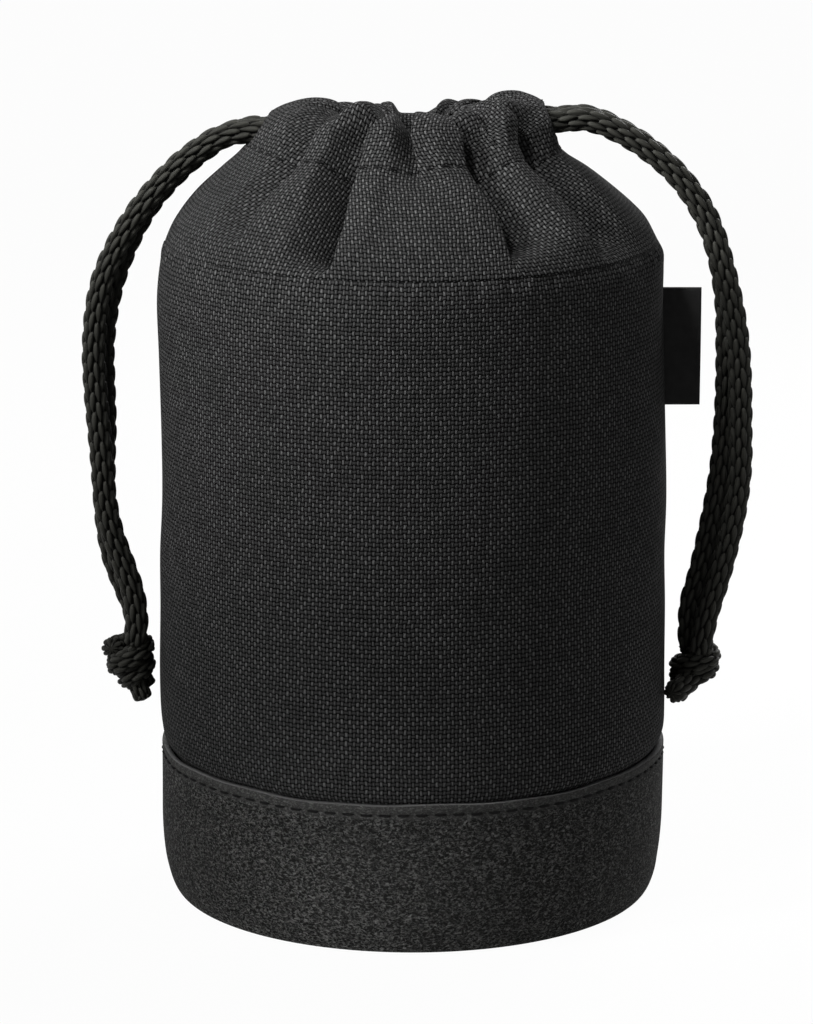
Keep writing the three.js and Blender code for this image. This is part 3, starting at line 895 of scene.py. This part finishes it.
# %% [markdown]
# The strip turns in at the mouth and runs back down inside, where a row of stitches closes
# it into the channel that holds the cords. This facing follows the collar's own lip and its
# stitch line, column by column, so the two never part.

# %% Channel facing
trough = (19.8, 132.3)
facing_rows = 30


def facing_grid():
    """A smooth curve for every column: from the lip, down round the cords and out to the
    stitch line, then back at the cloth's thickness below it."""
    lip = inner[-1] - (0, 0, 0.25)
    sewn = inner[int(channel_share * (slope_rows - 1))] - (0, 0, 0.25)
    out = unit(lip * (1, 1, 0))
    up = np.array([0, 0, 1.0])
    bottom = trough[1] - mouth_dip * out[:, 1:2] ** 2
    low = out * trough[0] + up * bottom
    middle = lip * (1, 1, 0) + out * 0.4 + up * ((lip[:, 2:] + bottom) / 2 + 0.6)
    controls = np.stack([lip, middle, low, sewn]).reshape(4, -1)
    curve = through(controls, facing_rows, fine=60).reshape(facing_rows, slope_columns, 3)
    below = curve - 0.7 * grid_normals(curve[::-1])[::-1]
    return np.concatenate([curve, below[::-2]])


facing_points = facing_grid()
facing_arc = np.linspace(0, 270, slope_columns + 1)[None, :]
facing_level = np.linspace(0, 60, len(facing_points) + 1)[:, None]
facing = grid_mesh("channel_lining", facing_points, laid_out(facing_arc, facing_level), True)
settle(facing, "shell_weave", "channel_facing")

# %% [markdown]
# ## Stitches
# Three rows of thread hold the pouch together. A groove alone reads as a scratch, and a ring
# of thread as a wire, so each stitch is its own small capsule whose ends dip into the cloth.

# %% Capsules in a row
def stitch_row(name, middles, ahead, outward, length, diameter, node):
    """Capsules along a row. Each runs along ahead for its length, has a radius that closes as
    sqrt(1 - t^4) at both ends, and dips by a fourth power of t below the cloth there."""
    rings, sides = 7, 6
    t = np.linspace(-1, 1, rings)[None, :, None]
    turn = np.linspace(0, 2 * np.pi, sides, endpoint=False)[None, None, :]
    beside = np.cross(ahead, outward)
    radius = diameter / 2 * np.sqrt(1 - t**4)
    axis = middles[:, None, None] + ahead[:, None, None] * (t * length / 2)[..., None]
    axis = axis - outward[:, None, None] * (0.8 * diameter * t**4)[..., None]
    points = axis + outward[:, None, None] * (radius * np.cos(turn))[..., None]
    points = points + beside[:, None, None] * (radius * np.sin(turn))[..., None]
    one = grid_faces(rings, sides)
    faces = (one[None] + np.arange(len(middles))[:, None, None] * rings * sides).reshape(-1, 4)
    piece = make_mesh(name, points.reshape(-1, 3), faces)
    return settle(piece, "thread", node)


def row_along(name, line, outward, count, length, diameter, node):
    """A row of stitches in equal steps along a closed line with given outward directions."""
    line, outward = np.concatenate([line, line[:1]]), np.concatenate([outward, outward[:1]])
    walked = distances(line)
    middle = (np.arange(count) + 0.5) * walked[-1] / count
    ends = [read_between(walked, line, middle + half) for half in (length / 2, -length / 2)]
    out = unit(read_between(walked, outward, middle))
    ahead = ends[0] - ends[1]
    ahead = unit(ahead - (ahead * out).sum(-1, keepdims=True) * out)
    middles = read_between(walked, line, middle) + 0.05 * out
    return stitch_row(name, middles, ahead, out, length, diameter, node)


print("stitch helpers ready")

# %% Sew the three rows
# Length and thread diameter of a stitch on the cup and of one in the cloth
cup_stitch = (2.5, 0.5)
cloth_stitch = (2.0, 0.36)
seam_stitches = 112
channel_stitches = 96
seam_radius = 43.0
middle = (np.arange(base_stitches) + 0.5) * 360 / base_stitches
sewn_radius, sewn_height = base_shape(middle, base_radius + 0.1 + 0 * middle, base_stitch_height)
stitch_row(
    "cup_stitches", place(middle, sewn_radius, sewn_height), place(middle + 90, 1.0, 0.0),
    place(middle, 1.0, 0.0), *cup_stitch, "base_stitch")
around = np.linspace(0, 360, 720, endpoint=False)
seam_line = place(
    around, seam_radius, seam_height - 0.2 - seam_dip * np.cos(np.radians(around)) ** 2)
row_along(
    "seam_stitches", seam_line, place(around, 1.0, 0.0), seam_stitches, *cloth_stitch,
    "seam_stitch")
row = int(channel_share * (slope_rows - 1))
row_along(
    "channel_stitches", outer[row], grid_normals(outer)[row], channel_stitches, *cloth_stitch,
    "channel_stitch")

# %% [markdown]
# ## Side tab
# A short, plain satin ribbon is folded double and caught in the side seam. A flat box would
# look like a chip of plastic, so the outline of the folded ribbon is carried up its height
# with a slight bow and twist, and closes at both cut ends.

# %% The ribbon
tab_root = 44.4
tab_tip = 51.4
tab_half = 0.45
ply = 0.38
tab_bottom = 88.4
tab_top = 109.7


def hairpin(half):
    """Out along one side, round the fold as a half circle and back along the other side."""
    out = np.linspace(tab_root, tab_tip - tab_half, 24)
    turn = np.linspace(-np.pi / 2, np.pi / 2, 10)[1:-1]
    x = np.concatenate([out, tab_tip - tab_half + half * np.cos(turn), out[::-1]])
    y = np.concatenate([0 * out - half, half * np.sin(turn), 0 * out + half])
    return np.stack([x, y], -1)


def ribbon_grid():
    """The outline of the folded ribbon, an outer and an inner hairpin one ply apart, carried
    up in rows. It bows slightly, twists slightly and closes at both cut ends."""
    x, y = np.concatenate([hairpin(tab_half), hairpin(tab_half - ply)[::-1]]).T
    level = np.linspace(0, 1, 60)[:, None]
    end = np.minimum(level, 1 - level) * (tab_top - tab_bottom) / 0.3
    pinch = np.sqrt(np.clip(1 - np.clip(1 - end, 0, 1) ** 2, 0, 1))
    reach = (x - tab_root) / (tab_tip - tab_root)
    bow = 0.35 * np.sin(np.pi * level) * reach**2 + 0.25 * (level - 0.5) * reach
    height = tab_bottom + level * (tab_top - tab_bottom) + 0 * x
    return np.stack([x + 0 * level, y * pinch - bow, height], -1)


ribbon = ribbon_grid()
across = np.linspace(0, 28, ribbon.shape[1] + 1)[None, :]
up = np.linspace(0, tab_top - tab_bottom, len(ribbon))[:, None]
tab = grid_mesh("ribbon_tab", ribbon, laid_out(across, up))
settle(tab, "tab_satin", "label_tab", body="label")

# %% [markdown]
# ## Finishes
# A finish is a small network of nodes. Writing it as arithmetic keeps the formula readable:
# a wire stands for one value that changes over the surface, and adding or multiplying wires
# adds the nodes that do it.

# %% Wires
class Wire:
    """One output of a node. Arithmetic on wires adds Math nodes to their network."""

    def __init__(self, network, socket):
        self.network = network
        self.socket = socket

    def math(self, operation, *others):
        inputs = dict(enumerate([self, *others]))
        return self.network.node("ShaderNodeMath", {"operation": operation}, inputs)

    def __add__(self, other):
        return self.math("ADD", other)

    def __sub__(self, other):
        return self.math("SUBTRACT", other)

    def __mul__(self, other):
        return self.math("MULTIPLY", other)

    def __truediv__(self, other):
        return self.math("DIVIDE", other)

    def __mod__(self, other):
        return self.math("FLOORED_MODULO", other)

    def __pow__(self, other):
        return self.math("POWER", other)

    def __rsub__(self, other):
        return self * -1 + other

    __radd__ = __add__
    __rmul__ = __mul__

    def floor(self):
        return self.math("FLOOR")

    def largest(self, other):
        return self.math("MAXIMUM", other)

    def dome(self, half):
        """sqrt(1 - (value / half)^2) inside half, and 0 outside it."""
        return (1 - (self / half) ** 2).largest(0) ** 0.5

    def between(self, low, high):
        """0 below low, 1 above high and a smooth step between."""
        settings = {"interpolation_type": "SMOOTHSTEP"}
        return self.network.node("ShaderNodeMapRange", settings, {"Value": self, 1: low, 2: high})


print("wires ready")

# %% Networks of nodes
class Network:
    """The nodes of a material or world, emptied first, with one method that adds any node."""

    def __init__(self, owner):
        owner.use_nodes = True
        self.owner = owner
        self.tree = owner.node_tree
        self.tree.nodes.clear()

    def node(self, kind, settings=None, inputs=None, output=0):
        """Adds a node, sets its settings first, then the values or wires of its sockets."""
        made = self.tree.nodes.new(kind)
        for setting, value in (settings or {}).items():
            setattr(made, setting, value)
        for socket, value in (inputs or {}).items():
            if isinstance(value, Wire):
                self.tree.links.new(value.socket, made.inputs[socket])
            else:
                made.inputs[socket].default_value = value
        return Wire(self, made.outputs[output]) if len(made.outputs) else None

    def split(self, vector):
        """The three parts of a vector as wires."""
        return [self.node("ShaderNodeSeparateXYZ", None, {0: vector}, part) for part in range(3)]

    def mix(self, share, low, high):
        """A colour between low and high."""
        inputs = {"Factor": share, 6: low, 7: high}
        return self.node("ShaderNodeMix", {"data_type": "RGBA"}, inputs, 2)

    def noise(self, where, scale, detail=2.0, distortion=0.0):
        """Cloudy noise from 0 to 1."""
        inputs = {"Vector": where, "Scale": scale, "Detail": detail, "Distortion": distortion}
        return self.node("ShaderNodeTexNoise", None, inputs)

    def pattern(self):
        """Pattern coordinates of the surface."""
        return self.node("ShaderNodeUVMap", {"uv_map": "pattern"})

    def inside(self):
        """Coordinates in the object's own space, in metres."""
        return self.node("ShaderNodeTexCoord", None, None, "Object")

    def surface(self, height=None, depth=0.0001, strength=1.0, **inputs):
        """Ends the network in a principled shader, with a bump where a height is given."""
        values = {socket.replace("_", " "): value for socket, value in inputs.items()}
        if height is not None:
            bump = {"Strength": strength, "Distance": depth, "Height": height}
            values["Normal"] = self.node("ShaderNodeBump", None, bump)
        shader = self.node("ShaderNodeBsdfPrincipled", None, values)
        self.node("ShaderNodeOutputMaterial", None, {"Surface": shader})
        print(self.owner.name, len(self.tree.nodes), "nodes")
        return self.owner


def grey(level, warmth=1.0):
    """A nearly neutral colour; warmth above 1 takes some blue out."""
    return (level, level, level / warmth, 1)


finishes = {}
print("shader helpers ready")

# %% [markdown]
# The shell is a plain weave. Its threads are counted by the pattern coordinates, so a warp
# thread shows as an upright dash in every other cell of its column and the weft lies lower
# between two of them. An image of cloth would repeat and blur, but this formula stays sharp.

# %% Woven cloth
def woven():
    """Domes of height along and across every dash, tinted dash by dash with a little chance.
    The warp dashes are painted pale as a painted sheen, and the gaps between threads are
    painted near black as painted shade.
    """
    finish = Network(bpy.data.materials.new("woven_cloth"))
    warp, weft, _ = finish.split(finish.pattern())
    warp = warp + finish.noise(finish.inside(), 420.0) * 0.8
    weft = weft + finish.noise(finish.inside(), 510.0) * 0.7
    column, row = warp.floor(), weft.floor()
    along_warp = (weft + column + 0.5) % 2 - 1
    along_weft = (warp + row + 1.5) % 2 - 1
    upright = (warp - column - 0.5).dome(0.34) * along_warp.dome(0.56)
    lying = (weft - row - 0.5).dome(0.36) * along_weft.dome(0.62)
    dash = ((weft + column + 0.5) / 2).floor()
    cell = finish.node("ShaderNodeCombineXYZ", None, {0: column, 1: dash})
    chance = finish.node("ShaderNodeTexWhiteNoise", {"noise_dimensions": "2D"}, {"Vector": cell})
    patches = finish.noise(finish.inside(), 90.0, 3.0)
    fibres = finish.noise(finish.inside(), 3200.0, 1.0)
    # How far each dash takes the painted sheen, varied by chance, patches and fibres.
    light = upright * (0.5 + 0.55 * chance) * (0.75 + 0.5 * patches) * (0.65 + 0.7 * fibres)
    # Near black in the gaps between threads is painted shade, and the pale warp colour is a painted
    # sheen on the dashes.
    gap_painted_shade, weft_shade, warp_painted_sheen = grey(0.0005), grey(0.028), grey(0.082)
    ground = finish.mix(lying, gap_painted_shade, weft_shade)
    colour = finish.mix(light, ground, warp_painted_sheen)
    height = upright.largest(lying * 0.7)
    return finish.surface(
        height, 0.00025, 0.8, Base_Color=colour, Roughness=0.85, Specular_IOR_Level=0.02)


finishes["shell_weave"] = woven()

# %% [markdown]
# Leathercloth is cloth with a pressed plastic coat. Its grain is finer than any mesh could
# carry, so it is noise: a bump whose tops are painted pale, as a painted highlight, on a dark
# ground. The band above the stitches was pressed smoother when the rim was sewn, and the cut
# rim shows the paler inside of the coat.

# %% Leathercloth
def leathercloth():
    """Fine crinkled grain: the tops of warped noise, drawn out sideways, stand up as bumps and
    are painted as pale specks, a painted highlight, on a smooth dark ground. Half of the grain
    is taken out from the stitches up, and the cut rim is paler."""
    finish = Network(bpy.data.materials.new("leathercloth"))
    drawn_out = {0: finish.inside(), 1: (1, 1, 1.6)}
    where = finish.node("ShaderNodeVectorMath", {"operation": "MULTIPLY"}, drawn_out)
    grain_and_highlight = finish.noise(where, 1800.0, 2.0, 0.9).between(0.4, 0.82)
    _, level, _ = finish.split(finish.pattern())
    band = level.between(base_stitch_height - 1.0, base_stitch_height - 0.4)
    grain_and_highlight = grain_and_highlight + (0.2 - grain_and_highlight) * (band * 0.55)
    rim = level.between(base_height - 0.06, base_height - 0.01)
    # The pale speck colour is a painted highlight on the tops of the grain. The dark ground is the
    # coat's own colour.
    ground_shade, speck_painted_highlight, rim_shade = grey(0.008, 1.03), grey(0.19, 1.03), grey(0.17)
    colour = finish.mix(grain_and_highlight, ground_shade, speck_painted_highlight)
    colour = finish.mix(rim * 0.9, colour, rim_shade)
    return finish.surface(
        grain_and_highlight, 0.0006, 1.0, Base_Color=colour, Roughness=0.7, Specular_IOR_Level=0.02)


finishes["base_leathercloth"] = leathercloth()

# %% [markdown]
# The cord's yarns are olive black. The mesh has the form of the braid already. One flat colour
# would lose it in the shade, so the finish follows the same formula, paints shade into the
# grooves between the stitches and paints a highlight at each stitch's head.

# %% Braided cord
def braided():
    """The braid's leaf formula again, to paint shade into the grooves, with a painted highlight at
    each stitch's head and fine filaments along it."""
    finish = Network(bpy.data.materials.new("cord_braid"))
    around, along, _ = finish.split(finish.pattern())
    column = around.floor()
    odd = column % 2
    step = (along + odd * 0.5) % 1
    across = (around - column) * 2 - 1 + stitch_lean * (1 - 2 * odd) * (step - 0.5)
    half = ((step**0.75 * math.pi).math("SINE")).largest(0) ** 0.7 * 0.95 + 0.15
    leaf = across.dome(half)
    yarn = finish.node("ShaderNodeCombineXYZ", None, {0: around * 9.0, 1: along * 0.8})
    fibres = finish.noise(yarn, 2.2)
    # Each stitch is painted lighter towards its head, a painted highlight.
    head_painted_highlight = 1.25 - step * 0.8
    # The near black between the stitches is painted shade in the grooves.
    groove_painted_shade, yarn_shade = grey(0.002, 1.15), grey(0.032, 1.15)
    colour = finish.mix(leaf * head_painted_highlight * (0.5 + fibres * 0.8), groove_painted_shade, yarn_shade)
    return finish.surface(
        fibres, 0.0001, 0.6, Base_Color=colour, Roughness=0.5, Specular_IOR_Level=0.05)


finishes["cord_braid"] = braided()

# %% [markdown]
# Lining, foam, board and thread are hidden or very small, so one cloudy finish serves them
# all, each with its own shades and fineness. The thread's dark shades also hold painted shade,
# as the stitches sink into the cloth. The ribbon gets fine ribs, as satin has.

# %% Plain cloths and ribbon
def plain_cloth(name, dark, pale, scale, depth, roughness):
    """A soft surface of fine cloudy fibres between two shades."""
    finish = Network(bpy.data.materials.new(name))
    fibres = finish.noise(finish.inside(), scale, 4.0)
    colour = finish.mix(fibres, grey(dark), grey(pale))
    return finish.surface(
        fibres, depth, 0.8, Base_Color=colour, Roughness=roughness, Specular_IOR_Level=0.06)


def satin():
    """Ribbon with fine ribs across it and a slightly cloudy black."""
    finish = Network(bpy.data.materials.new("ribbon_satin"))
    _, up, _ = finish.split(finish.pattern())
    ribs = (up * 45.0).math("SINE") * 0.5 + 0.5
    clouds = finish.noise(finish.inside(), 800.0)
    colour = finish.mix(clouds, grey(0.012), grey(0.022))
    return finish.surface(
        ribs, 0.00003, 0.5, Base_Color=colour, Roughness=0.6, Specular_IOR_Level=0.04)


finishes["lining_cloth"] = plain_cloth("brushed_lining", 0.008, 0.020, 1800, 0.0001, 0.9)
finishes["padding_foam"] = plain_cloth("closed_foam", 0.030, 0.060, 900, 0.0002, 0.95)
finishes["stiffener_board"] = plain_cloth("fibre_board", 0.014, 0.028, 500, 0.00005, 0.6)
# The thread's near black is its own black deepened by painted shade, as the stitches sink into the
# cloth.
finishes["thread"] = plain_cloth("twisted_thread", 0.002, 0.006, 2500, 0.00005, 0.7)
finishes["tab_satin"] = satin()

# %% [markdown]
# Every piece has a slot that names its finish. The pieces made here carry theirs, and a solid
# that stays from the construction model, such as the stiff board, finds it in the record.

# %% Dress every piece
slot_of = {part["node"]: part["material_slot"] for part in frame["record"]["subparts"]}
for thing in [o for o in bpy.context.scene.objects if o.type == "MESH"]:
    slot = thing.get("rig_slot") or slot_of.get(thing.name)
    thing.data.materials.clear()
    thing.data.materials.append(finishes[slot])

# %% [markdown]
# ## Light and floor
# The photograph has soft light from the upper left and a white ground. A lamp close to the
# upper left gives the fall of light from left to right and from top to bottom, and a small
# one in front lifts the gathered top. A weak lamp near the floor brightens the cup's rounded
# corner, as pale paper under it would. A broad lamp behind shows the back, and the world
# fills in evenly. The floor and the world turn white for the camera, mirrors and glass only,
# so that the white ground adds no light to the black cloth.

# %% Lamps
def area_lamp(name, location, target, size, power, spread):
    """A square soft lamp that faces a target and whose light fades out over a spread angle."""
    lamp = bpy.data.lights.new(name, "AREA")
    lamp.size = size
    lamp.energy = power
    lamp.spread = math.radians(spread)
    holder = bpy.data.objects.new(name, lamp)
    holder.location = location
    holder.rotation_euler = (Vector(target) - Vector(location)).to_track_quat("-Z", "Y").to_euler()
    bpy.context.scene.collection.objects.link(holder)


area_lamp("key", (-0.43, -0.25, 0.40), (-0.035, -0.02, 0.18), 0.12, 0.275, 36)
area_lamp("top", (-0.14, -0.22, 0.40), (-0.01, -0.03, 0.17), 0.08, 0.055, 30)
area_lamp("low", (-0.10, -0.45, 0.015), (-0.015, -0.04, 0.005), 0.04, 0.007, 10)
area_lamp("back", (0.28, 0.45, 0.40), (0, 0, 0.08), 0.3, 2.6, 160)
print("lamps ready")

# %% World and floor
def seen_by_eye(network):
    """1 for rays from the camera, a mirror or glass, and 0 for the light that falls on things."""
    camera_ray, glossy, through_glass = (
        network.node("ShaderNodeLightPath", None, None, name)
        for name in ("Is Camera Ray", "Is Glossy Ray", "Is Transmission Ray"))
    return camera_ray.largest(glossy).largest(through_glass)


bpy.context.scene.world = bpy.data.worlds.new("studio")
sky = Network(bpy.context.scene.world)
fill = sky.node("ShaderNodeBackground", None, {"Color": grey(0.23)})
white = sky.node("ShaderNodeBackground", None, {"Color": grey(1.0)})
both = sky.node("ShaderNodeMixShader", None, {0: seen_by_eye(sky), 1: fill, 2: white})
sky.node("ShaderNodeOutputWorld", None, {"Surface": both})

floor_mesh = bpy.data.meshes.new("floor")
corners = np.array([(-1, -1, 0), (1, -1, 0), (1, 1, 0), (-1, 1, 0)]) * 4.0 - (0, 0, 0.0002)
floor_mesh.from_pydata(corners.tolist(), [], [(0, 1, 2, 3)])
floor = bpy.data.objects.new("floor", floor_mesh)
bpy.context.scene.collection.objects.link(floor)
paper = Network(bpy.data.materials.new("floor_paper"))
matt = paper.node("ShaderNodeBsdfDiffuse", None, {"Color": grey(0.8)})
glow = paper.node("ShaderNodeEmission", None, {"Color": grey(1.0)})
ground = paper.node("ShaderNodeMixShader", None, {0: seen_by_eye(paper) * 0.97, 1: matt, 2: glow})
paper.node("ShaderNodeOutputMaterial", None, {"Surface": ground})
floor_mesh.materials.append(paper.owner)
bpy.context.scene.view_settings.view_transform = "Standard"
print("world and floor ready")
